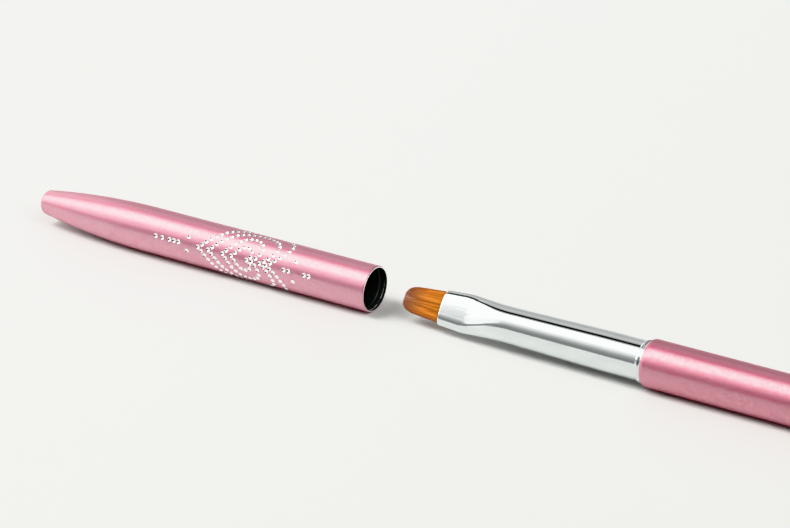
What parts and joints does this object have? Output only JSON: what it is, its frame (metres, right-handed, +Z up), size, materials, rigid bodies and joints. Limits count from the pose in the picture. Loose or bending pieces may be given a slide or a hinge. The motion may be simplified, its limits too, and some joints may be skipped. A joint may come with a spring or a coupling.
{
  "type": "capped nail brush",
  "caption": "Flat oval nail brush with a round metal handle, a crimped ferrule and a tapered sliding cap with a plastic liner.",
  "frame": {"origin": "on the resting plane, under the middle of the whole length with the cap drawn off", "axes": "+X along the common axis from the closed end of the cap to the tail of the handle, +Z up"},
  "size_m": [0.223, 0.0094, 0.0095],
  "materials": {
    "pink_anodised_handle": "fine satin pink anodising",
    "pink_anodised_cap": "fine satin pink anodising with bright cut dots and a bare rim",
    "bright_collar": "bright turned metal",
    "bright_ferrule": "bright plated metal with fine crimp wrinkles",
    "brush_hair": "golden brown hair darker at the tip",
    "binding_thread": "waxed thread",
    "root_cement": "hardened amber cement",
    "dark_plastic": "moulded dark plastic",
    "black_liner": "smooth black plastic"
  },
  "bodies": {
    "brush": {"handle_tube": "pink_anodised_handle", "handle_insert": "dark_plastic", "collar_ring": "bright_collar", "ferrule": "bright_ferrule", "hair_bundle": "brush_hair", "root_binding": "binding_thread", "root_cement": "root_cement"},
    "cap": {"cap_shell": "pink_anodised_cap", "cap_liner": "black_liner"}
  },
  "joints": [
    {"name": "cap_slide", "type": "slide", "parent": "brush", "child": "cap", "axis": [1, 0, 0], "range_m": [0, 0.0608]}
  ]
}
